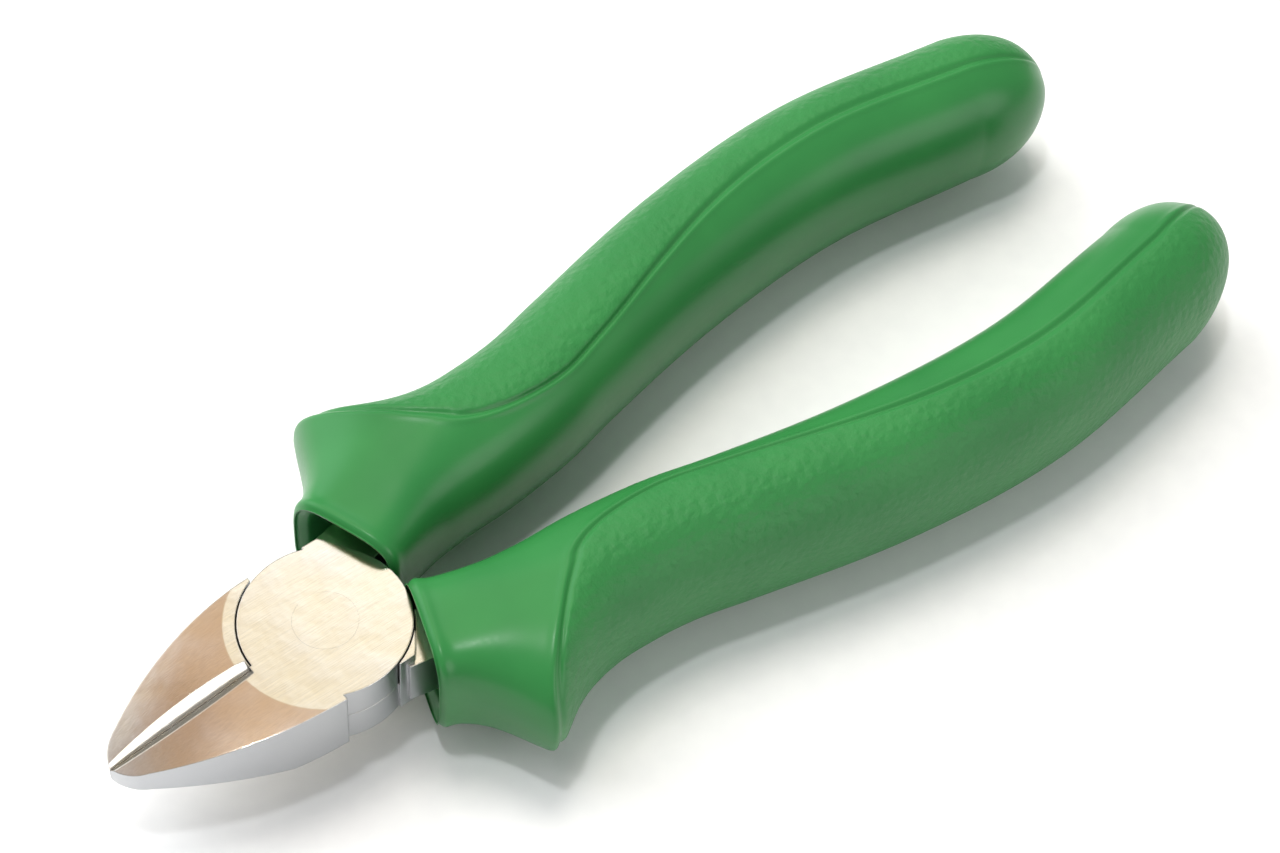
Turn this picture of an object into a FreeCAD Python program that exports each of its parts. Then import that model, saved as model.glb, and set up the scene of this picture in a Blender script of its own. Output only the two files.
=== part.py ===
import FreeCAD, Part
import math
import os

import Sketcher

# Lap-joint side cutters: two forged halves crossing at a round joint, one flush rivet
# and two soft sleeves slipped over the tangs.
# X runs from the tip (-) to the handle ends (+), Z along the rivet. The origin is on the
# rivet's axis, in the ground back face of the head.

Vector = FreeCAD.Vector
doc = FreeCAD.newDocument("SideCutters")
sheet = doc.addObject("Spreadsheet::Sheet", "Dims")

SIZES = {
    # head
    "head_thick": 9.8,
    "disc_radius": 10.25,
    "joint_gap": 0.2,
    "lap_gap": 0.06,
    "jaw_reach": 29.6,
    "nose_reach": 26.6,
    "nose_side": 3.6,
    "jaw_bow_radius": 47.0,
    "nose_radius": 5.2,
    "shoulder_reach": 4.0,
    "jaw_shoulder": 10.15,
    "edge_gap": 0.02,
    "edge_relief": 0.4,
    "edge_drop": 0.95,
    "edge_fall_angle": 8.9,
    # ground slopes of the jaws, radii from the rivet's axis
    "front_crease": 11.9,
    "back_crease": 14.5,
    "grind_reach": 31.0,
    "tip_half_thick": 1.05,
    "front_bow_radius": 90.0,
    "back_bow_radius": 40.0,
    # shank behind the joint
    "shank_front": 3.5,
    "shank_corner": 5.6,
    "shank_side": 9.95,
    "back_edge": 9.6,
    "back_edge_radius": 15.5,
    # rivet
    "rivet_radius": 3.0,
    "rivet_head_radius": 3.9,
    "rivet_head_depth": 0.9,
    "rivet_gap": 0.02,
    # tang, a flat bar inside the sleeve
    "tang_thick": 7.4,
    "tang_root": 4.6,
    "tang_root_inner": 4.3,
    "tang_root_outer": 10.4,
    "tang_waist": 48.0,
    "waist_inner": 12.0,
    "waist_outer": 18.8,
    "tang_end": 112.0,
    "end_inner": 17.4,
    "end_outer": 22.2,
    "tang_bow_radius": 134.0,
    # sleeve sections, from the mouth to the start of the round butt
    "mouth_x": 8.1, "mouth_y": 8.0, "mouth_turn": 20.0, "mouth_half_w": 7.5, "mouth_half_t": 7.9,
    "collar_x": 11.6, "collar_y": 10.0, "collar_turn": 22.0, "collar_half_w": 7.9, "collar_half_t": 8.0,
    "guard_x": 17.4, "guard_y": 14.5, "guard_turn": 11.0, "guard_half_w": 11.8, "guard_half_t": 9.5,
    "throat_x": 21.5, "throat_y": 13.6, "throat_turn": 6.0, "throat_half_w": 10.0, "throat_half_t": 9.6,
    "waist_x": 31.0, "waist_y": 12.5, "waist_turn": 1.5, "waist_half_w": 8.2, "waist_half_t": 9.6,
    "swell_x": 48.0, "swell_y": 15.4, "swell_turn": 13.0, "swell_half_w": 8.0, "swell_half_t": 10.0,
    "palm_x": 70.0, "palm_y": 20.0, "palm_turn": 9.0, "palm_half_w": 8.6, "palm_half_t": 10.5,
    "heel_x": 92.0, "heel_y": 21.9, "heel_turn": -0.5, "heel_half_w": 8.9, "heel_half_t": 10.65,
    "butt_x": 117.2, "butt_y": 19.0, "butt_turn": -13.0, "butt_half_w": 8.8, "butt_half_t": 10.2,
    "butt_length": 13.7,
    "sleeve_wall": 1.4,
    "mouth_depth": 9.0,
    "socket_half_w": 4.4,
    "socket_half_t": 4.4,
}
SLEEVE_SECTIONS = ("mouth", "collar", "guard", "throat", "waist", "swell", "palm", "heel", "butt")
BUTT_SHARES = (0.45, 0.75, 0.92, 0.99)

for row, (alias, size) in enumerate(SIZES.items(), start=1):
    sheet.set(f"A{row}", alias.replace("_", " "))
    sheet.set(f"B{row}", str(size))
    sheet.setAlias(f"B{row}", alias)
doc.recompute()


def size_of(alias):
    return float(getattr(sheet, alias))


def origin_plane(body, role):
    return next(item for item in body.Origin.OriginFeatures if item.Role == role)


def new_body(label):
    body = doc.addObject("PartDesign::Body", label)
    body.Label = label
    body.setExpression("Placement.Base.z", "Dims.head_thick / 2")
    return body


def new_sketch(body, name, role):
    sketch = body.newObject("Sketcher::SketchObject", f"{body.Label}_{name}")
    sketch.AttachmentSupport = [(origin_plane(body, role), "")]
    sketch.MapMode = "FlatFace"
    return sketch


def new_feature(body, kind, name, profile):
    feature = body.newObject(f"PartDesign::{kind}", f"{body.Label}_{name}")
    feature.Profile = profile
    profile.Visibility = False
    return feature


class Term:
    """A coordinate: a signed sum of sheet sizes, as a number and as an expression."""

    def __init__(self, *parts):
        self.number = sum(sign * size_of(alias) * scale for sign, alias, scale in parts)
        self.words = " ".join(f"{'+' if sign > 0 else '-'} Dims.{alias} * {scale}" for sign, alias, scale in parts)

    def expression(self):
        return "0 " + self.words


def plus(alias, scale=1):
    return Term((1, alias, scale))


def minus(alias, scale=1):
    return Term((-1, alias, scale))


def along(sign, alias, scale=1):
    return Term((sign, alias, scale))


ZERO = Term()


def pin(sketch, geometry, vertex, across, up):
    """Holds one vertex at its two sheet-driven distances from the sketch's origin."""
    for kind, term in (("DistanceX", across), ("DistanceY", up)):
        index = sketch.addConstraint(Sketcher.Constraint(kind, -1, 1, geometry, vertex, term.number))
        if term.words:
            sketch.setExpression(f"Constraints[{index}]", term.expression())


def closed_outline(sketch, corners, bends):
    """Lines and arcs through the corners in turn. bends[i] is None for a straight side, or
    the arc's (radius alias, +1 when it bulges to the left of its direction, -1 to the right)."""
    points = [Vector(across.number, up.number, 0) for across, up in corners]
    sides = []
    for index, bend in enumerate(bends):
        start, end = points[index], points[(index + 1) % len(points)]
        if bend is None:
            edge = sketch.addGeometry(Part.LineSegment(start, end), False)
            sides.append((edge, 1, 2))
            continue
        alias, side = bend
        chord = end - start
        radius = size_of(alias)
        left = Vector(-chord.y, chord.x, 0).normalize()
        centre = (start + end) * 0.5 - left * (side * math.sqrt(radius ** 2 - (chord.Length / 2) ** 2))
        clockwise = side > 0
        first, last = (end, start) if clockwise else (start, end)
        begin = math.atan2(first.y - centre.y, first.x - centre.x)
        finish = math.atan2(last.y - centre.y, last.x - centre.x)
        if finish < begin:
            finish += 2 * math.pi
        circle = Part.Circle(centre, Vector(0, 0, 1), radius)
        edge = sketch.addGeometry(Part.ArcOfCircle(circle, begin, finish), False)
        sides.append((edge, 2, 1) if clockwise else (edge, 1, 2))
    for index, (edge, first, last) in enumerate(sides):
        following = sides[(index + 1) % len(sides)]
        sketch.addConstraint(Sketcher.Constraint("Coincident", edge, last, following[0], following[1]))
        pin(sketch, edge, first, *corners[index])
    for (edge, first, last), bend in zip(sides, bends):
        if bend is not None:
            index = sketch.addConstraint(Sketcher.Constraint("Radius", edge, size_of(bend[0])))
            sketch.setExpression(f"Constraints[{index}]", f"Dims.{bend[0]}")


def centred_circle(sketch, across, radius):
    circle = sketch.addGeometry(Part.Circle(Vector(across.number, 0, 0), Vector(0, 0, 1), radius.number), False)
    pin(sketch, circle, 3, across, ZERO)
    index = sketch.addConstraint(Sketcher.Constraint("Radius", circle, radius.number))
    sketch.setExpression(f"Constraints[{index}]", radius.expression())


def symmetric_pad(body, name, sketch, thickness):
    pad = new_feature(body, "Pad", name, sketch)
    pad.SideType = "Symmetric"
    pad.setExpression("Length", f"Dims.{thickness}")
    return pad


def revolved_cut(body, name, sketch, angle):
    groove = new_feature(body, "Groove", name, sketch)
    groove.ReferenceAxis = (sketch, ["V_Axis"])
    groove.Angle = angle
    groove.Midplane = True
    return groove


def jaw_outline(sketch, side):
    """Half of the leaf-shaped nose, from the joint to the tip, closed along the cutting plane."""
    corners = [
        (minus("shoulder_reach"), along(side, "jaw_shoulder")),
        (minus("nose_reach"), along(side, "nose_side")),
        (minus("jaw_reach"), along(side, "edge_gap")),
        (ZERO, along(side, "edge_gap")),
        (minus("shoulder_reach"), along(side, "rivet_radius")),
    ]
    closed_outline(sketch, corners, [("jaw_bow_radius", -side), ("nose_radius", -side), None, None, None])


def shank_outline(sketch, side):
    """The thick part of the shank outside the joint's disc, ending at the curved back edge."""
    corners = [
        (plus("shank_front"), along(side, "shank_side")),
        (plus("shank_corner"), along(side, "shank_side")),
        (plus("back_edge"), ZERO),
        (plus("shank_front"), ZERO),
    ]
    closed_outline(sketch, corners, [None, ("back_edge_radius", side), None, None])


def tang_outline(sketch, side):
    """The flat bar inside the sleeve: straight to the waist, then bowed with the handle."""
    corners = [
        (plus("tang_root"), along(side, "tang_root_outer")),
        (plus("tang_waist"), along(side, "waist_outer")),
        (plus("tang_end"), along(side, "end_outer")),
        (plus("tang_end"), along(side, "end_inner")),
        (plus("tang_waist"), along(side, "waist_inner")),
        (plus("back_edge"), along(side, "tang_root_inner")),
        (plus("tang_root"), along(side, "tang_root_inner")),
    ]
    closed_outline(sketch, corners, [None, ("tang_bow_radius", side), None, ("tang_bow_radius", -side),
                                     None, None, None])


def rivet_outline(sketch, *gap):
    """Half section of the rivet: a shank with a countersunk head at each face. A gap widens it."""
    shank = Term((1, "rivet_radius", 1), *gap)
    head = Term((1, "rivet_head_radius", 1), *gap)
    top, neck = plus("head_thick", 0.5), Term((1, "head_thick", 0.5), (-1, "rivet_head_depth", 1))
    bottom, low_neck = minus("head_thick", 0.5), Term((-1, "head_thick", 0.5), (1, "rivet_head_depth", 1))
    corners = [(ZERO, top), (head, top), (shank, neck), (shank, low_neck), (head, bottom), (ZERO, bottom)]
    closed_outline(sketch, corners, [None] * 6)


def grind_outline(sketch, side, crease, alias, bulge):
    """The waste that the grinding takes off one face of the jaws, in half section."""
    outside = along(side, "head_thick", 0.6)
    face = along(side, "head_thick", 0.5)
    reach = minus("grind_reach")
    corners = [(minus(crease), face), (reach, along(side, "tip_half_thick")), (reach, outside), (minus(crease), outside)]
    closed_outline(sketch, corners, [(alias, bulge), None, None, None])


def edge_outline(sketch, side):
    """Waste beside the cutting edge: a bevel above it and a slight relief below it."""
    top, bottom = plus("edge_drop", 5), minus("head_thick", 1.4)
    corners = [
        (along(side, "edge_gap"), ZERO),
        (along(side, "edge_drop", 5), top),
        (along(-side, "edge_drop"), top),
        (along(-side, "edge_drop"), bottom),
        (along(side, "edge_relief"), bottom),
    ]
    closed_outline(sketch, corners, [None] * 5)


def forged_half(label, jaw_side, lap_side):
    """One forging: a jaw on one side of the cutting plane, its disc in one half of the
    thickness, and a tang that crosses over to the other side."""
    body = new_body(label)
    disc = new_sketch(body, "disc_outline", "XY_Plane")
    centred_circle(disc, ZERO, plus("disc_radius"))
    symmetric_pad(body, "disc", disc, "head_thick")
    jaw = new_sketch(body, "jaw_outline", "XY_Plane")
    jaw_outline(jaw, jaw_side)
    symmetric_pad(body, "jaw", jaw, "head_thick")
    shank = new_sketch(body, "shank_outline", "XY_Plane")
    shank_outline(shank, -jaw_side)
    symmetric_pad(body, "shank", shank, "head_thick")
    tang = new_sketch(body, "tang_outline", "XY_Plane")
    tang_outline(tang, -jaw_side)
    symmetric_pad(body, "tang", tang, "tang_thick")

    recess = new_sketch(body, "recess_outline", "XY_Plane")
    recess.setExpression("AttachmentOffset.Base.z", f"{-lap_side} * Dims.head_thick * 0.6")
    centred_circle(recess, ZERO, Term((1, "disc_radius", 1), (1, "joint_gap", 1)))
    lap = new_feature(body, "Pocket", "lap_recess", recess)
    lap.Reversed = lap_side > 0
    lap.setExpression("Length", "Dims.head_thick * 0.6 + Dims.lap_gap / 2")

    front = new_sketch(body, "front_grind_outline", "XZ_Plane")
    grind_outline(front, 1, "front_crease", "front_bow_radius", -1)
    revolved_cut(body, "front_grind", front, 152)
    back = new_sketch(body, "back_grind_outline", "XZ_Plane")
    grind_outline(back, -1, "back_crease", "back_bow_radius", -1)
    revolved_cut(body, "back_grind", back, 152)

    edge = new_sketch(body, "edge_outline", "YZ_Plane")
    edge.AttachmentOffset = FreeCAD.Placement(Vector(), FreeCAD.Rotation(Vector(1, 0, 0), 1))
    edge.setExpression("AttachmentOffset.Base.y", "Dims.head_thick / 2 - Dims.edge_drop")
    edge.setExpression("AttachmentOffset.Base.z", "-(Dims.disc_radius + Dims.joint_gap)")
    edge.setExpression("AttachmentOffset.Rotation.Angle", "-Dims.edge_fall_angle")
    edge_outline(edge, jaw_side)
    bevel = new_feature(body, "Pocket", "edge_bevel", edge)
    bevel.setExpression("Length", "Dims.jaw_reach")

    hole = new_sketch(body, "rivet_hole_outline", "XZ_Plane")
    rivet_outline(hole, *([(1, "rivet_gap", 1)] if lap_side > 0 else []))
    revolved_cut(body, "rivet_hole", hole, 360)
    return body


def flush_rivet(label):
    body = new_body(label)
    section = new_sketch(body, "section", "XZ_Plane")
    rivet_outline(section)
    turned = new_feature(body, "Revolution", "turned", section)
    turned.ReferenceAxis = (section, ["V_Axis"])
    turned.Angle = 360
    return body


def oval_sketch(body, name, half_w, half_t):
    """An oval centred in a plane across the body, upright, with both its widths driven."""
    sketch = new_sketch(body, name, "YZ_Plane")
    sketch.AttachmentOffset = FreeCAD.Placement(Vector(), FreeCAD.Rotation(Vector(0, 1, 0), 1))
    tall = half_t.number >= half_w.number
    major, minor = (half_t, half_w) if tall else (half_w, half_t)
    ellipse = Part.Ellipse(Vector(), major.number, minor.number)
    if tall:
        ellipse.rotate(FreeCAD.Placement(Vector(), Vector(0, 0, 1), 90))
    oval = sketch.addGeometry(ellipse, False)
    sketch.exposeInternalGeometry(oval)
    long_axis, short_axis = oval + 1, oval + 2
    sketch.addConstraint(Sketcher.Constraint("Coincident", oval, 3, -1, 1))
    sketch.addConstraint(Sketcher.Constraint("Vertical" if tall else "Horizontal", long_axis))
    for axis, length in ((long_axis, major), (short_axis, minor)):
        index = sketch.addConstraint(Sketcher.Constraint("Distance", axis, 2 * length.number))
        sketch.setExpression(f"Constraints[{index}]", f"2 * ({length.expression()})")
    return sketch


def stand_at(sketch, station, side, further="0"):
    """Stands an oval at a station of the handle, square to it, or further along its direction."""
    turn = f"{side} * Dims.{station}_turn"
    step = f"({further})"
    sketch.setExpression("AttachmentOffset.Base.x", f"{side} * (Dims.{station}_y + "
                         f"{step} * sin(Dims.{station}_turn * 1 deg))")
    sketch.setExpression("AttachmentOffset.Base.z", f"Dims.{station}_x + {step} * cos(Dims.{station}_turn * 1 deg)")
    sketch.setExpression("AttachmentOffset.Rotation.Angle", turn)


def sleeve_section(body, station, side):
    sketch = oval_sketch(body, f"{station}_section", plus(f"{station}_half_w"), plus(f"{station}_half_t"))
    stand_at(sketch, station, side)
    return sketch


def butt_section(body, side, share):
    """A section of the round butt at a share of its length: the ovals close as in an ellipsoid."""
    shrink = math.sqrt(1 - share ** 2)
    sketch = oval_sketch(body, f"butt_section_{round(share * 100)}", plus("butt_half_w", shrink),
                         plus("butt_half_t", shrink))
    stand_at(sketch, "butt", side, f"{share} * Dims.butt_length")
    return sketch


def loft(body, kind, name, sketches):
    feature = new_feature(body, kind, name, sketches[0])
    feature.Sections = sketches[1:]
    for sketch in sketches:
        sketch.Visibility = False
    return feature


def sleeve(label, side):
    """The soft sleeve: an oval tube with a thumb guard, a round butt, a hollow mouth and a
    socket that fits the tang."""
    body = new_body(label)
    ovals = [sleeve_section(body, station, side) for station in SLEEVE_SECTIONS]
    ovals += [butt_section(body, side, share) for share in BUTT_SHARES]
    collar = loft(body, "AdditiveLoft", "collar", ovals[:2])
    collar.Ruled = True
    loft(body, "AdditiveLoft", "outside", ovals[1:])

    mouth = oval_sketch(body, "mouth_hollow_section", Term((1, "mouth_half_w", 1), (-1, "sleeve_wall", 1)),
                        Term((1, "mouth_half_t", 1), (-1, "sleeve_wall", 1)))
    stand_at(mouth, "mouth", side)
    seat = oval_sketch(body, "mouth_seat_section", plus("socket_half_w"), plus("socket_half_t"))
    stand_at(seat, "mouth", side, "Dims.mouth_depth")
    loft(body, "SubtractiveLoft", "mouth_hollow", [mouth, seat])

    socket = new_sketch(body, "socket_outline", "XY_Plane")
    tang_outline(socket, side)
    hollow = new_feature(body, "Pocket", "tang_socket", socket)
    hollow.SideType = "Symmetric"
    hollow.setExpression("Length", "Dims.tang_thick")
    return body


PIECES = [
    forged_half("upper_half", -1, 1),
    forged_half("lower_half", 1, -1),
    flush_rivet("pivot_rivet"),
    sleeve("upper_grip", 1),
    sleeve("lower_grip", -1),
]

doc.recompute()
for item in doc.Objects:
    if "Invalid" in item.State or "Error" in item.State:
        raise RuntimeError(f"{item.Name} failed: {item.State}")
os.makedirs("parts", exist_ok=True)
for body in PIECES:
    if body.Shape.isNull() or not body.Shape.isValid() or len(body.Shape.Solids) != 1:
        raise RuntimeError(f"{body.Label} is not one sound solid")
    box = body.Shape.BoundBox
    print(f"{body.Label:12s} volume {body.Shape.Volume:9.1f}  x {box.XMin:.2f} {box.XMax:.2f}"
          f"  y {box.YMin:.2f} {box.YMax:.2f}  z {box.ZMin:.2f} {box.ZMax:.2f}")
    body.Shape.exportStep(f"parts/{body.Label}.step")
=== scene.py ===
import math

import bpy
import numpy as np
from mathutils import Matrix, Vector


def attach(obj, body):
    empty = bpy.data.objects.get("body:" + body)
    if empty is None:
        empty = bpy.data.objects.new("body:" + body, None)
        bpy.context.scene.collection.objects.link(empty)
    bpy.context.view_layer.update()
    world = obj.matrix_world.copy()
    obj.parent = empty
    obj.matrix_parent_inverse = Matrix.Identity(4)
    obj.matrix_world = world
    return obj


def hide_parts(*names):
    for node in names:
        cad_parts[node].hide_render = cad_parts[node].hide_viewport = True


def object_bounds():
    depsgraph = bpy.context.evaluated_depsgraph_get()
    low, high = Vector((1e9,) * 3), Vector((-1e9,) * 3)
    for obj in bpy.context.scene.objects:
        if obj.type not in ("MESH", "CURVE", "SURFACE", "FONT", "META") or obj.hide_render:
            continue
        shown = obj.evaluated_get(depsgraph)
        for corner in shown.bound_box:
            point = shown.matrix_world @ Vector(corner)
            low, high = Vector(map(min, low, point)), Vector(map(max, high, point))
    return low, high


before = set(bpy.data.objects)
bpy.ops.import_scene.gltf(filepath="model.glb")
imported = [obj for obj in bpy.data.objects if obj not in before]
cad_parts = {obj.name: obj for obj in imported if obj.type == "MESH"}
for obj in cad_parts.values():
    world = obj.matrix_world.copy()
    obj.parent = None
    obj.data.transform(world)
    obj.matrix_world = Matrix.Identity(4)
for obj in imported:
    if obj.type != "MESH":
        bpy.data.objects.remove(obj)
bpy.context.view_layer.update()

MM = 0.001
HEAD_MID = 4.9          # half the head's thickness: the lap plane's height over the back face

# ---------------------------------------------------------------- shape helpers


def smooth_curve(knots, values, at):
    """A smooth curve through (knots, values): cubic Hermite pieces whose slopes at the knots
    are the slopes of the parabola through each knot and its two neighbours."""
    knots, values, at = (np.asarray(a, float) for a in (knots, values, at))
    steps = np.diff(knots)
    rises = np.diff(values) / steps
    slopes = np.empty_like(values)
    slopes[1:-1] = (rises[:-1] * steps[1:] + rises[1:] * steps[:-1]) / (steps[1:] + steps[:-1])
    slopes[0], slopes[-1] = rises[0], rises[-1]
    i = np.clip(np.searchsorted(knots, at) - 1, 0, len(steps) - 1)
    t = (at - knots[i]) / steps[i]
    return (values[i] * (1 + 2 * t) * (1 - t) ** 2 + slopes[i] * steps[i] * t * (1 - t) ** 2
            + values[i + 1] * t ** 2 * (3 - 2 * t) + slopes[i + 1] * steps[i] * t ** 2 * (t - 1))


def ease(low, high, x):
    """0 below low, 1 above high, and a smooth cubic between."""
    t = np.clip((x - low) / (high - low), 0, 1)
    return t * t * (3 - 2 * t)


def bump(x, width):
    """A bell of height 1 at x = 0: exp(-(x / width) squared)."""
    return np.exp(-(x / width) ** 2)


# ---------------------------------------------------------------- grip sleeve
# Stations along the handle, from the mouth to the start of the round butt, in millimetres.
# x and y: centre of the section; turn: degrees from +X; out, into: half widths away from and
# towards the other handle; tall: half height; square: exponent of the section's oval.
STATIONS = {
    "along": (0.0, 3.8, 9.5, 14.6, 23.6, 33.0, 41.0, 63.5, 85.6, 111.0),
    "x": (8.0, 11.5, 17.2, 22.2, 31.0, 40.5, 48.0, 70.0, 92.0, 117.2),
    "y": (8.0, 9.8, 11.9, 12.5, 12.5, 13.6, 15.4, 20.0, 21.9, 19.0),
    "turn": (19.5, 21.5, 15.0, 6.0, 3.0, 9.0, 12.0, 9.0, -0.5, -13.0),
    "out": (7.3, 7.1, 7.7, 8.4, 8.4, 8.2, 8.2, 8.45, 8.6, 8.65),
    "into": (7.4, 7.9, 8.6, 8.7, 8.2, 8.0, 8.0, 8.4, 8.7, 8.6),
    "tall": (7.6, 7.9, 8.8, 9.3, 9.6, 9.8, 10.0, 10.4, 10.5, 10.1),
    "square": (3.8, 3.6, 2.9, 2.5, 2.4, 2.35, 2.3, 2.3, 2.3, 2.25),
}
BUTT_LENGTH = 13.6
HANDLE_LENGTH = STATIONS["along"][-1] + BUTT_LENGTH

# The seam between the smooth front and the grained palm zone, from the guard's outer side over
# the top (and, mirrored, under the underside) to the butt: distance along the handle, and degrees
# round from the outer side.
SEAM_ALONG = (10.4, 10.7, 11.6, 13.2, 15.6, 19.0, 23.6, 29.0, 35.0, 43.0, 55.0, 66.5, 85.0, 105.0,
              125.0)
SEAM_AROUND = (0.0, 20.0, 40.0, 58.0, 74.0, 88.0, 100.0, 110.0, 116.0, 114.0, 104.0, 95.0, 91.0,
               92.0, 95.0)
SKIN_RADIUS = 9.0          # turns degrees round the handle into millimetres over its skin
SEAM_STEPS = 700

GUARD_RISE = 7.7
GUARD_REACH = 118.0        # degrees from the outer side at which the guard has died away
GUARD_ROUND_POWER = 1.5    # how its height falls off round the handle
GUARD_FRONT = 3.7          # the guard falls away over this length in front of its crest
GUARD_BACK = 3.6           # and over this length behind it
GUARD_FALL_POWER = 1.4
GUARD_FLATNESS = 0.65      # share of the guard's rise that is held back from the height
CREST_LEAD = 0.5           # the guard's crest runs this far in front of the seam
CREST_ROUNDING = 0.35

GROOVE_WIDTH = 0.34
GROOVE_DEPTH = 0.34
RIDGE_HEIGHT = 0.10        # a soft ridge runs beside the groove, on the smooth side
RIDGE_OFFSET = 0.75
RIDGE_WIDTH = 0.45
PALM_RISE = 0.22
PALM_STEP = (-0.1, 0.9)    # distances past the seam over which the skin rises to the palm
GRAIN_START = (0.15, 0.9)  # and over which the leather grain sets in
DETAIL_FADE = 5.0          # groove, step and grain die away over this length at the butt

LIP_SWELL = 0.28
LIP_WIDTH = 0.9            # the lip's swelling has this width and this distance from the rim
RIM_ROUNDING = 0.45
WALL = 1.35
WALL_TURN = 0.12           # share of the hollow's depth in which the rim turns into the wall
HOLLOW_TAPER = 2.2
MOUTH_DEPTH = 9.5
BUTT_POWER = 2.15
LEAST_RADIUS = 2.0         # keeps the swelling finite where the butt closes

FRONT_LENGTH = 22.0
ROWS_FRONT = 140
ROWS_REAR = 170
ROWS_BUTT = 36
ROWS_HOLLOW = 22
COLUMNS_HALF = 112
COLUMN_CROWDING = 0.5      # radians: how wide the crowd of grid lines beside the seam is
CROWD_LIMITS = (60, 120)   # degrees between which the crowd of grid lines follows the seam


def sleeve_frame(along):
    """Centre, outward direction, half widths, half height and exponent at each distance along."""
    knots = STATIONS["along"]
    straight = np.minimum(along, knots[-1])
    part = {key: smooth_curve(knots, values, straight)
            for key, values in STATIONS.items() if key != "along"}
    turn = np.radians(part["turn"])
    past = np.maximum(along - knots[-1], 0)
    part["x"] = part["x"] + past * np.cos(turn)
    part["y"] = part["y"] + past * np.sin(turn)
    part["turn"] = turn
    close = np.sqrt(np.clip(1 - (past / BUTT_LENGTH) ** BUTT_POWER, 0, 1))
    for key in ("out", "into", "tall"):
        part[key] = part[key] * close
    return part


def seam_angle(along):
    """Degrees from the outer side to the seam."""
    return smooth_curve(SEAM_ALONG, SEAM_AROUND, np.clip(along, SEAM_ALONG[0], SEAM_ALONG[-1]))


def seam_distance(along, around):
    """Signed distance in millimetres over the skin from the seam, positive in the palm zone: the
    offset from the nearest of many points on the seam, measured square to the seam there."""
    degrees = np.array(SEAM_AROUND)
    skin = np.radians(degrees) * SKIN_RADIUS
    reach = np.concatenate([[0.0], np.cumsum(np.hypot(np.diff(SEAM_ALONG), np.diff(skin)))])
    steps = np.linspace(0, reach[-1], SEAM_STEPS)
    line = np.stack([smooth_curve(reach, SEAM_ALONG, steps), smooth_curve(reach, skin, steps)])
    heading = np.gradient(line, axis=1)
    normal = np.stack([heading[1], -heading[0]]) / np.hypot(*heading)
    shape = np.broadcast(along, around).shape
    round_skin = np.abs(around) * SKIN_RADIUS
    point = np.stack([np.broadcast_to(along, shape).ravel(),
                      np.broadcast_to(round_skin, shape).ravel()]).astype(np.float32)
    gaps = ((point[0][:, None] - line[0].astype(np.float32)) ** 2
            + (point[1][:, None] - line[1].astype(np.float32)) ** 2)
    nearest = gaps.argmin(axis=1)
    offset = ((point - line[:, nearest]) * normal[:, nearest]).sum(axis=0)
    return offset.reshape(shape)


def crowded_angles(along):
    """Angles round the section for each row, drawn together beside the seam: from the outer
    side they follow seam + w sinh(k (t - t0)), so the step is least at the seam."""
    seam = np.radians(np.clip(seam_angle(along), *CROWD_LIMITS))[:, None]
    w = COLUMN_CROWDING
    before, after = np.arcsinh(seam / w), np.arcsinh((np.pi - seam) / w)
    share = np.linspace(0, 1, COLUMNS_HALF + 1)[None, :]
    half = seam + w * np.sinh(share * (before + after) - before)
    return np.concatenate([half, -half[:, -2:0:-1]], axis=1)


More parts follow.
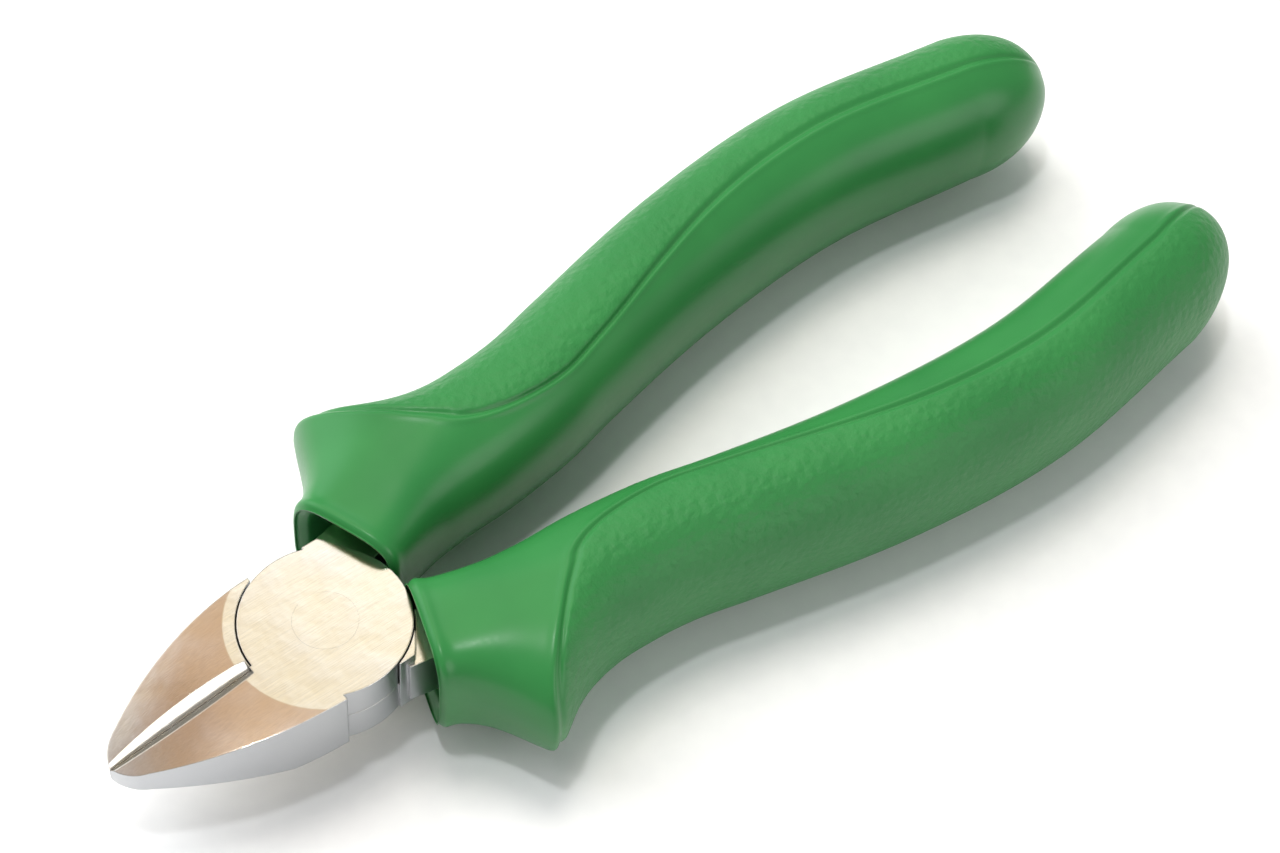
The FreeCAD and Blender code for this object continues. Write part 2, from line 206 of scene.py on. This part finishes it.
def sleeve_surface(side):
    """The sleeve as one closed surface r(along, around): an oval section carried along the
    handle's bow, raised into the thumb guard where it nears the seam, with the seam's groove and
    the small step up to the palm zone; it turns over the rim at the mouth into a hollow that
    narrows to the tang. Returns the points (rows, columns, 3) and the palm mask."""
    straight = STATIONS["along"][-1]
    front = np.linspace(0.0, FRONT_LENGTH, ROWS_FRONT, endpoint=False)
    rear = np.linspace(FRONT_LENGTH, straight, ROWS_REAR)
    butt = straight + BUTT_LENGTH * np.sin(np.linspace(0, np.pi / 2, ROWS_BUTT + 1)[1:-1])
    along = np.concatenate([front, rear, butt])[:, None]
    around = crowded_angles(along[:, 0])
    part = {key: value[:, None] for key, value in sleeve_frame(along[:, 0]).items()}

    cosine, sine = np.cos(around), np.sin(around)
    width = np.where(cosine > 0, part["out"], part["into"])
    power = 2 / part["square"]
    across = width * np.sign(cosine) * np.abs(cosine) ** power
    up = part["tall"] * np.sign(sine) * np.abs(sine) ** power
    radius = np.hypot(across, up)

    distance = seam_distance(along, around)
    degrees = np.degrees(np.abs(around))
    low = np.clip(degrees / GUARD_REACH, 0, 1) ** GUARD_ROUND_POWER
    height = GUARD_RISE * (1 - low) ** GUARD_ROUND_POWER
    past_crest = distance + CREST_LEAD
    length = np.where(past_crest < 0, GUARD_FRONT, GUARD_BACK)
    flare = height * np.exp(-(np.hypot(past_crest, CREST_ROUNDING) / length) ** GUARD_FALL_POWER)

    fade = ease(0.0, DETAIL_FADE, HANDLE_LENGTH - along)
    groove = -GROOVE_DEPTH * bump(distance, GROOVE_WIDTH)
    ridge = RIDGE_HEIGHT * bump(distance + RIDGE_OFFSET, RIDGE_WIDTH)
    step = PALM_RISE * ease(*PALM_STEP, distance) + ridge
    rim = LIP_SWELL * bump(along - LIP_WIDTH, LIP_WIDTH) - RIM_ROUNDING * bump(along, RIM_ROUNDING)
    swell = flare + (groove + step) * fade + rim
    radius = np.maximum(radius, LEAST_RADIUS)
    across = across * (1 + swell / radius)
    up = up * (1 + (swell - GUARD_FLATNESS * flare) / radius)
    shell = place_section(part, across, up, side)
    palm = ease(*GRAIN_START, distance) * fade

    depths = np.linspace(1, 0, ROWS_HOLLOW)
    inner = {key: value[:, None] for key, value in sleeve_frame(depths * MOUTH_DEPTH).items()}
    around = np.repeat(around[:1], ROWS_HOLLOW, axis=0)
    cosine, sine = np.cos(around), np.sin(around)
    shrink = (WALL * ease(0.0, WALL_TURN, depths) + HOLLOW_TAPER * depths)[:, None]
    inner_across = np.sign(cosine) * np.abs(cosine) ** power[0] * (STATIONS["out"][0] - shrink)
    inner_up = np.sign(sine) * np.abs(sine) ** power[0] * (STATIONS["tall"][0] - shrink)
    hollow = place_section(inner, inner_across, inner_up, side)
    return np.concatenate([hollow, shell]), np.concatenate([np.zeros(hollow.shape[:2]), palm])


def place_section(part, across, up, side):
    """Turns section coordinates into points: the centre, plus across along the outward normal of
    the handle's line, plus up along Z. side is the sign of Y of the handle."""
    x = part["x"] - across * np.sin(part["turn"])
    y = part["y"] + across * np.cos(part["turn"])
    return np.stack([x, side * y, up + HEAD_MID + 0 * x], axis=-1) * MM


def closed_mesh(name, points, palm):
    """A closed skin over a grid of rings: quads between neighbouring rings, and one fan of
    triangles that closes each end. The palm mask is kept as a point attribute."""
    rows, columns = points.shape[:2]
    ring = np.arange(columns)
    following = np.roll(ring, -1)
    first = (np.arange(rows - 1) * columns)[:, None]
    second = first + columns
    quads = np.stack([first + ring, first + following, second + following, second + ring], axis=-1)
    start_pole, end_pole = rows * columns, rows * columns + 1
    last = (rows - 1) * columns
    start_fan = np.stack([np.full(columns, start_pole), following, ring], axis=-1)
    end_fan = np.stack([np.full(columns, end_pole), last + ring, last + following], axis=-1)
    poles = [points[0].mean(0), points[-1].mean(0)]
    vertices = np.concatenate([points.reshape(-1, 3), poles])
    faces = quads.reshape(-1, 4).tolist() + start_fan.tolist() + end_fan.tolist()
    mesh = bpy.data.meshes.new(name)
    mesh.from_pydata(vertices.tolist(), [], faces)
    mesh.polygons.foreach_set("use_smooth", np.ones(len(faces), bool))
    mask = mesh.attributes.new("palm", "FLOAT", "POINT")
    values = np.concatenate([palm.reshape(-1), np.zeros(len(poles))])
    mask.data.foreach_set("value", values.astype(np.float32))
    mesh.update()
    piece = bpy.data.objects.new(name, mesh)
    bpy.context.scene.collection.objects.link(piece)
    return piece


def grip_sleeve(name, side, node, body, material):
    """One sleeve in place of its CAD node. The columns are reversed on the side where they would
    otherwise turn the skin inside out."""
    points, palm = sleeve_surface(side)
    if side > 0:
        points, palm = points[:, ::-1], palm[:, ::-1]
    piece = closed_mesh(name, points, palm)
    piece.data.materials.append(material)
    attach(piece, body)
    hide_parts(node)
    return piece


# ---------------------------------------------------------------- materials
# Colours are linear red, green and blue.

SLEEVE_GREENS = ((0.024, 0.172, 0.042), (0.031, 0.204, 0.050))
SLEEVE_ROUGHNESS = 0.25
SLEEVE_HAZE = 0.12
SLEEVE_SPECULAR = 0.38
PALM_DULLNESS = 0.13
GRAIN_CELL = 1.2 * MM
GRAIN_HEIGHT = 0.22 * MM
GRAIN_WARP = 0.5 * MM
BARE_STEELS = ((0.80, 0.785, 0.76), (0.88, 0.865, 0.84))
WAX_TINTS = ((1.0, 0.95, 0.83), (1.0, 0.99, 0.98))
# painted shade: this darker grey on the upright steel walls stands in for the shaded table that
# they reflect
WALL_PAINTED_SHADE_GREY = (0.50, 0.51, 0.525, 1)
STEEL_ROUGHNESS = 0.12
STEEL_HAZE = 0.10
WALL_DULLNESS = 0.14
WALL_LIMIT = 0.45          # a face whose normal has less of Z than this counts as a wall
WALL_SHARPNESS = 5.0
POLISH_WAVES = 0.1 * MM
SCRATCH_DEPTH = 0.01 * MM
EDGE_ROUNDING = 0.22 * MM
RIVET_CLEAR = 5.0 * MM     # no rounded edges within this radius of the rivet's axis
TABLE_WHITES = ((0.86, 0.86, 0.865), (0.89, 0.89, 0.89))
MIX_SOCKETS = {"VECTOR": (4, 5, 1), "RGBA": (6, 7, 2)}     # first and second input, output


def new_group(name, inputs, outputs):
    """A shader node group with float inputs (name, default) and (name, socket type) outputs."""
    group = bpy.data.node_groups.new(name, "ShaderNodeTree")
    for label, default in inputs:
        socket = group.interface.new_socket(label, in_out="INPUT", socket_type="NodeSocketFloat")
        socket.default_value = default
    for label, kind in outputs:
        group.interface.new_socket(label, in_out="OUTPUT", socket_type=kind)
    return group, group.nodes.new("NodeGroupInput"), group.nodes.new("NodeGroupOutput")


def add(tree, kind, **settings):
    """A new node; each setting is an input socket's value or a property of the node."""
    node = tree.nodes.new(kind)
    for key, value in settings.items():
        if key in node.inputs:
            node.inputs[key].default_value = value
        else:
            setattr(node, key, value)
    return node


def maths(tree, operation, left, right=0.5, clamp=False):
    """A Math node's output; left and right may each be a socket or a number."""
    node = tree.nodes.new("ShaderNodeMath")
    node.operation = operation
    node.use_clamp = clamp
    for index, value in enumerate((left, right)):
        if isinstance(value, bpy.types.NodeSocket):
            tree.links.new(value, node.inputs[index])
        else:
            node.inputs[index].default_value = value
    return node.outputs[0]


def leather_grain_group():
    """Moulded leather: small rounded cells with soft valleys between them, and finer pores."""
    group, given, out = new_group("leather_grain", [("Cell Size", GRAIN_CELL)],
                                  [("Height", "NodeSocketFloat")])
    place = add(group, "ShaderNodeTexCoord")
    per_metre = maths(group, "DIVIDE", 1.0, given.outputs["Cell Size"])
    warp = add(group, "ShaderNodeTexNoise", Scale=900.0, Detail=2.0)
    group.links.new(place.outputs["Object"], warp.inputs["Vector"])
    shift = add(group, "ShaderNodeVectorMath", operation="MULTIPLY_ADD")
    group.links.new(warp.outputs["Color"], shift.inputs[0])
    shift.inputs[1].default_value = (GRAIN_WARP, GRAIN_WARP, GRAIN_WARP)
    group.links.new(place.outputs["Object"], shift.inputs[2])
    cells = add(group, "ShaderNodeTexVoronoi", feature="SMOOTH_F1", Smoothness=0.6)
    group.links.new(shift.outputs[0], cells.inputs["Vector"])
    group.links.new(per_metre, cells.inputs["Scale"])
    pores = add(group, "ShaderNodeTexNoise", Detail=4.0, Roughness=0.6)
    group.links.new(place.outputs["Object"], pores.inputs["Vector"])
    group.links.new(maths(group, "MULTIPLY", per_metre, 1.6), pores.inputs["Scale"])
    domes = maths(group, "SUBTRACT", 1.0, cells.outputs["Distance"])
    grain = maths(group, "ADD", maths(group, "MULTIPLY", domes, 0.7),
                  maths(group, "MULTIPLY", pores.outputs[0], 0.6))
    group.links.new(grain, out.inputs["Height"])
    return group


def handling_group():
    """Slow blotches and faint fine haze, between 0 and 1, from handling and moulding."""
    group, given, out = new_group("handling", [("Blotch Scale", 60.0), ("Haze Scale", 1500.0)],
                                  [("Blotches", "NodeSocketFloat"), ("Haze", "NodeSocketFloat")])
    place = add(group, "ShaderNodeTexCoord")
    for label, source, detail in (("Blotches", "Blotch Scale", 3.0), ("Haze", "Haze Scale", 5.0)):
        noise = add(group, "ShaderNodeTexNoise", Detail=detail)
        group.links.new(place.outputs["Object"], noise.inputs["Vector"])
        group.links.new(given.outputs[source], noise.inputs["Scale"])
        group.links.new(noise.outputs[0], out.inputs[label])
    return group


def grinding_group():
    """Fine scratches left by grinding: noise drawn out along X."""
    group, given, out = new_group("grinding_lines", [("Across", 9000.0), ("Along", 260.0)],
                                  [("Lines", "NodeSocketFloat")])
    place = add(group, "ShaderNodeTexCoord")
    split = add(group, "ShaderNodeSeparateXYZ")
    group.links.new(place.outputs["Object"], split.inputs[0])
    join = add(group, "ShaderNodeCombineXYZ")
    for axis, density in (("X", "Along"), ("Y", "Across"), ("Z", "Across")):
        scaled = maths(group, "MULTIPLY", split.outputs[axis], given.outputs[density])
        group.links.new(scaled, join.inputs[axis])
    noise = add(group, "ShaderNodeTexNoise", Scale=1.0, Detail=3.0)
    group.links.new(join.outputs[0], noise.inputs["Vector"])
    group.links.new(noise.outputs[0], out.inputs["Lines"])
    return group


LEATHER = leather_grain_group()
HANDLING = handling_group()
GRINDING = grinding_group()


def new_material(name):
    material = bpy.data.materials.new(name)
    material.use_nodes = True
    return material, material.node_tree, material.node_tree.nodes["Principled BSDF"]


def use_group(tree, group, **values):
    """The group as a node in a material; an underscore in a value's name stands for a space."""
    node = tree.nodes.new("ShaderNodeGroup")
    node.node_tree = group
    for label, value in values.items():
        node.inputs[label.replace("_", " ")].default_value = value
    return node


def tint(tree, factor, low, high):
    """A colour that runs from low to high over the middle of a noise's range."""
    ramp = tree.nodes.new("ShaderNodeValToRGB")
    ramp.color_ramp.elements[0].position, ramp.color_ramp.elements[1].position = 0.3, 0.7
    ramp.color_ramp.elements[0].color = (*low, 1)
    ramp.color_ramp.elements[1].color = (*high, 1)
    tree.links.new(factor, ramp.inputs[0])
    return ramp.outputs[0]


def mixed(tree, factor, first, second, kind="RGBA", blend="MIX"):
    """Second over first by the factor, as colours or vectors; each may be a socket or a value."""
    mix = add(tree, "ShaderNodeMix", data_type=kind, blend_type=blend)
    first_input, second_input, output = MIX_SOCKETS[kind]
    for index, value in ((0, factor), (first_input, first), (second_input, second)):
        if isinstance(value, bpy.types.NodeSocket):
            tree.links.new(value, mix.inputs[index])
        else:
            mix.inputs[index].default_value = value
    return mix.outputs[output]


def weighted(tree, factor, weight, base):
    """factor * weight + base, where base is a socket or a number."""
    total = maths(tree, "MULTIPLY_ADD", factor, weight)
    if isinstance(base, bpy.types.NodeSocket):
        tree.links.new(base, total.node.inputs[2])
    else:
        total.node.inputs[2].default_value = base
    return total


def green_sleeve_material():
    """Soft green plastic: satin and smooth in front, leather-grained and duller on the palm."""
    material, tree, shader = new_material("green_sleeve")
    palm = add(tree, "ShaderNodeAttribute", attribute_name="palm")
    handling = use_group(tree, HANDLING, Blotch_Scale=70.0, Haze_Scale=1800.0)
    leather = use_group(tree, LEATHER, Cell_Size=GRAIN_CELL)
    green = tint(tree, handling.outputs["Blotches"], *SLEEVE_GREENS)
    tree.links.new(green, shader.inputs["Base Color"])
    duller_palm = weighted(tree, palm.outputs["Fac"], PALM_DULLNESS, SLEEVE_ROUGHNESS)
    hazed = weighted(tree, handling.outputs["Haze"], SLEEVE_HAZE, duller_palm)
    tree.links.new(hazed, shader.inputs["Roughness"])
    height = maths(tree, "MULTIPLY", leather.outputs["Height"], palm.outputs["Fac"])
    relief = add(tree, "ShaderNodeBump", Strength=0.9, Distance=GRAIN_HEIGHT)
    tree.links.new(height, relief.inputs["Height"])
    tree.links.new(relief.outputs[0], shader.inputs["Normal"])
    shader.inputs["Specular IOR Level"].default_value = SLEEVE_SPECULAR
    return material


def side_wall_group():
    """1 on upright walls and 0 on the flat faces and slopes, from the face's own direction; it
    places the walls' painted shade and their extra dullness.
    """
    group, _, out = new_group("side_wall", [], [("Wall", "NodeSocketFloat")])
    geometry = add(group, "ShaderNodeNewGeometry")
    split = add(group, "ShaderNodeSeparateXYZ")
    group.links.new(geometry.outputs["True Normal"], split.inputs[0])
    upright = maths(group, "SUBTRACT", WALL_LIMIT, maths(group, "ABSOLUTE", split.outputs["Z"]))
    wall = maths(group, "MULTIPLY", upright, WALL_SHARPNESS, clamp=True)
    group.links.new(wall, out.inputs["Wall"])
    return group


def broken_edge_group():
    """Slightly rounded edges, except round the rivet, which is ground flush with the face."""
    group, _, out = new_group("broken_edge", [], [("Normal", "NodeSocketVector")])
    place = add(group, "ShaderNodeTexCoord")
    flat = add(group, "ShaderNodeVectorMath", operation="MULTIPLY")
    group.links.new(place.outputs["Object"], flat.inputs[0])
    flat.inputs[1].default_value = (1.0, 1.0, 0.0)
    radius = add(group, "ShaderNodeVectorMath", operation="LENGTH")
    group.links.new(flat.outputs[0], radius.inputs[0])
    beyond = maths(group, "GREATER_THAN", radius.outputs["Value"], RIVET_CLEAR)
    rounded = add(group, "ShaderNodeBevel", samples=4, Radius=EDGE_ROUNDING)
    geometry = add(group, "ShaderNodeNewGeometry")
    normal = mixed(group, beyond, geometry.outputs["Normal"], rounded.outputs[0], kind="VECTOR")
    group.links.new(normal, out.inputs["Normal"])
    return group


def polished_steel_material():
    """Ground and polished tool steel: drawn-out scratches, a warm haze left by the polishing wax in
    soft patches, duller walls with painted shade (a darker grey standing in for the shaded table
    they mirror), and slightly broken edges."""
    material, tree, shader = new_material("polished_steel")
    handling = use_group(tree, HANDLING, Blotch_Scale=170.0, Haze_Scale=2500.0)
    lines = use_group(tree, GRINDING)
    wall = use_group(tree, side_wall_group())
    bare = tint(tree, lines.outputs["Lines"], *BARE_STEELS)
    wax = tint(tree, handling.outputs["Blotches"], *WAX_TINTS)
    waxed = mixed(tree, 1.0, bare, wax, blend="MULTIPLY")
    # painted shade: the upright walls take the darker grey in place of the steel's own colour
    color = mixed(tree, wall.outputs["Wall"], waxed, WALL_PAINTED_SHADE_GREY)
    tree.links.new(color, shader.inputs["Base Color"])
    shader.inputs["Metallic"].default_value = 1.0
    hazed = weighted(tree, handling.outputs["Blotches"], STEEL_HAZE, STEEL_ROUGHNESS)
    duller_wall = weighted(tree, wall.outputs["Wall"], WALL_DULLNESS, hazed)
    tree.links.new(duller_wall, shader.inputs["Roughness"])
    edge = use_group(tree, broken_edge_group())
    waves = add(tree, "ShaderNodeBump", Strength=0.5, Distance=POLISH_WAVES)
    tree.links.new(handling.outputs["Blotches"], waves.inputs["Height"])
    tree.links.new(edge.outputs["Normal"], waves.inputs["Normal"])
    relief = add(tree, "ShaderNodeBump", Strength=0.4, Distance=SCRATCH_DEPTH)
    tree.links.new(lines.outputs["Lines"], relief.inputs["Height"])
    tree.links.new(waves.outputs[0], relief.inputs["Normal"])
    tree.links.new(relief.outputs[0], shader.inputs["Normal"])
    return material


def dress(node, material):
    """Gives a CAD node its material."""
    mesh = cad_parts[node].data
    mesh.materials.clear()
    mesh.materials.append(material)


steel = polished_steel_material()
green = green_sleeve_material()
for steel_part in ("upper_half", "lower_half", "pivot_rivet"):
    dress(steel_part, steel)
grip_sleeve("upper_sleeve", 1, "upper_grip", "moving_half", green)
grip_sleeve("lower_sleeve", -1, "lower_grip", "fixed_half", green)

# ---------------------------------------------------------------- table, light and camera

CAMERA_AZIMUTH = -43.2
CAMERA_ELEVATION = 54.15
CAMERA_ROLL = -5.85
CAMERA_DISTANCE = 0.3502
CAMERA_TARGET = (0.04932, 0.00274, HEAD_MID * MM)
LENS = 78.74

TABLE_REACH = 3.0
LAMP_DISTANCE = 0.9
LAMPS = (        # name, direction, size, power, colour, whether reflections show it
    ("window", (-0.28, 0.66, 0.70), 0.85, 7.4, (0.95, 0.98, 1.0), False),
    ("lamp", (0.16, 0.28, 0.95), 0.32, 3.6, (1.0, 0.96, 0.90), False),
    ("spot", (-0.14, 0.07, 0.98), 0.06, 1.5, (0.95, 0.98, 1.0), True),
)

ROOM_SHADE = (0.28, 0.285, 0.29)
ROOM_AREAS = (
    ((-0.04, 0.44, 0.89), 0.87, 0.965, (0.72, 0.50, 0.34)),     # warm wall over the jaws' slopes
    ((-0.17, 0.44, 0.88), 0.975, 0.997, (0.48, 0.32, 0.22)),    # its darker middle
    ((-0.42, 0.46, 0.78), 0.955, 0.985, (0.46, 0.40, 0.38)),    # greyer end, over the tip
    ((0.40, 0.40, 0.82), 0.962, 0.988, (0.97, 0.87, 0.62)),     # cream ceiling over the flat faces
    ((0.43, 0.53, 0.73), 0.972, 0.986, (1.60, 1.60, 1.58)),     # bright edge of that ceiling
    ((-0.30, 0.85, 0.45), 0.84, 0.95, (1.5, 1.55, 1.6)),        # window beside the handles
    ((0.22, -0.83, 0.46), 0.90, 0.96, (2.2, 2.2, 2.2)),         # bright card over the cutting bevel
)


def pale_table(low):
    """A square of pale paper that the tool lies on, at height low."""
    mesh = bpy.data.meshes.new("table")
    corners = [(TABLE_REACH * x, TABLE_REACH * y, low)
               for x, y in ((-1, -1), (1, -1), (1, 1), (-1, 1))]
    mesh.from_pydata(corners, [], [(0, 1, 2, 3)])
    table = bpy.data.objects.new("table", mesh)
    bpy.context.scene.collection.objects.link(table)
    material, tree, shader = new_material("table_paper")
    handling = use_group(tree, HANDLING, Blotch_Scale=6.0, Haze_Scale=300.0)
    tree.links.new(tint(tree, handling.outputs["Haze"], *TABLE_WHITES), shader.inputs["Base Color"])
    shader.inputs["Roughness"].default_value = 0.6
    mesh.materials.append(material)


def soft_light(name, direction, size, power, color, mirrored):
    """A square lamp aimed at the middle of the tool; only a mirrored one shows in reflections."""
    lamp = bpy.data.lights.new(name, "AREA")
    lamp.shape = "SQUARE"
    lamp.size = size
    lamp.energy = power
    lamp.color = color
    light = bpy.data.objects.new(name, lamp)
    towards = Vector(direction).normalized()
    light.location = Vector(CAMERA_TARGET) + towards * LAMP_DISTANCE
    light.rotation_euler = towards.to_track_quat("Z", "Y").to_euler()
    light.visible_glossy = mirrored
    bpy.context.scene.collection.objects.link(light)


def studio_world():
    """A dim pale room with soft-edged bright and coloured areas, each given by its direction, the
    cosine where it starts and the cosine where it is full. The flat steel faces mirror them."""
    world = bpy.data.worlds.new("studio")
    bpy.context.scene.world = world
    world.use_nodes = True
    tree = world.node_tree
    place = add(tree, "ShaderNodeTexCoord")
    color = add(tree, "ShaderNodeRGB").outputs[0]
    color.default_value = (*ROOM_SHADE, 1)
    for direction, start, full, shade in ROOM_AREAS:
        dot = add(tree, "ShaderNodeVectorMath", operation="DOT_PRODUCT")
        tree.links.new(place.outputs["Generated"], dot.inputs[0])
        dot.inputs[1].default_value = Vector(direction).normalized()
        reach = add(tree, "ShaderNodeMapRange", interpolation_type="SMOOTHSTEP")
        reach.inputs["From Min"].default_value = start
        reach.inputs["From Max"].default_value = full
        tree.links.new(dot.outputs["Value"], reach.inputs["Value"])
        color = mixed(tree, reach.outputs[0], color, (*shade, 1))
    tree.links.new(color, tree.nodes["Background"].inputs["Color"])


def viewpoint():
    """The camera, set back from its target along azimuth and elevation, then rolled."""
    azimuth = math.radians(CAMERA_AZIMUTH)
    elevation = math.radians(CAMERA_ELEVATION)
    roll = math.radians(CAMERA_ROLL)
    back = Vector((math.sin(azimuth) * math.cos(elevation),
                   -math.cos(azimuth) * math.cos(elevation), math.sin(elevation)))
    right = Vector((math.cos(azimuth), math.sin(azimuth), 0))
    up = back.cross(right)
    tilted_right = right * math.cos(roll) - up * math.sin(roll)
    tilted_up = right * math.sin(roll) + up * math.cos(roll)
    turn = Matrix((tilted_right, tilted_up, back)).transposed()
    lens = bpy.data.cameras.new("camera")
    lens.lens = LENS
    lens.sensor_width = 36.0
    lens.clip_start = 0.01
    camera = bpy.data.objects.new("camera", lens)
    place = Matrix.Translation(Vector(CAMERA_TARGET) + back * CAMERA_DISTANCE)
    camera.matrix_world = place @ turn.to_4x4()
    bpy.context.scene.collection.objects.link(camera)
    bpy.context.scene.camera = camera


visual_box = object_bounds()
pale_table(visual_box[0][2])
studio_world()
for settings in LAMPS:
    soft_light(*settings)
viewpoint()
bpy.context.scene.view_settings.view_transform = "Standard"
